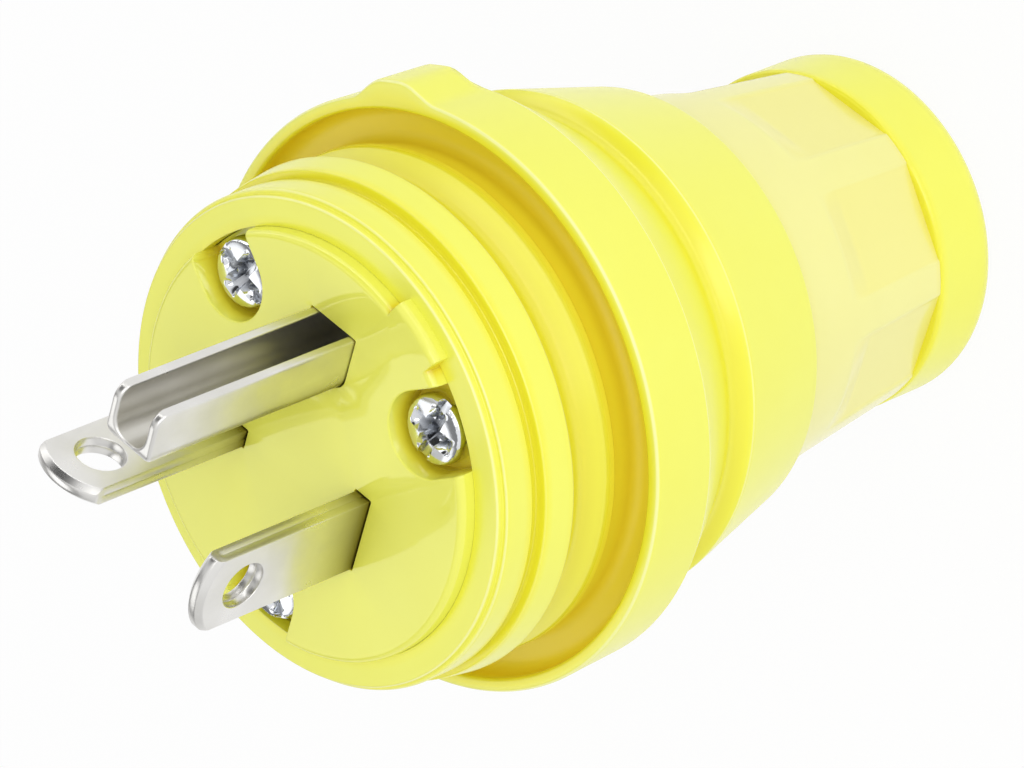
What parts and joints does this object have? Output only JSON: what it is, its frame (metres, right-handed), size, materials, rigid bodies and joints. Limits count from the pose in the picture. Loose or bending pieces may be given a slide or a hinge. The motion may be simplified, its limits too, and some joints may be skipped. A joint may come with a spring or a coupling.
{
  "type": "power connector",
  "caption": "Watertight straight-blade power plug: flat blades at right angles, a U-shaped ground pin, a ribbed yellow boot with a cupped sealing skirt, and a cord gland nut.",
  "frame": {"origin": "centre of the flat cord end, on the plug's axis", "axes": "+Z along the plug's axis towards the blades, +Y towards the ground pin, +X towards the line blade"},
  "size_m": [0.0462, 0.0462, 0.0815],
  "materials": {
    "boot": "glossy moulded elastomer",
    "face_plate": "glossy moulded nylon",
    "gland_nut": "glossy moulded nylon",
    "nylon": "satin moulded nylon",
    "nickel": "bright nickel plate on brass",
    "zinc": "bright zinc plate",
    "brass": "plain brass",
    "ground_green": "green plated steel"
  },
  "bodies": {
    "root": {"boot": "boot", "face_plate": "face_plate", "terminal_block": "nylon", "housing": "nylon", "line_blade": "nickel", "neutral_blade": "nickel", "ground_pin": "nickel", "line_clamp": "brass", "neutral_clamp": "zinc", "ground_clamp": "zinc", "line_terminal_screw": "brass", "neutral_terminal_screw": "zinc", "ground_terminal_screw": "ground_green", "face_screw_1": "zinc", "face_screw_2": "zinc", "face_screw_3": "zinc", "cord_grommet": "boot", "slip_washer": "nylon", "gland_nut": "gland_nut", "end_collar": "boot"}
  },
  "joints": []
}
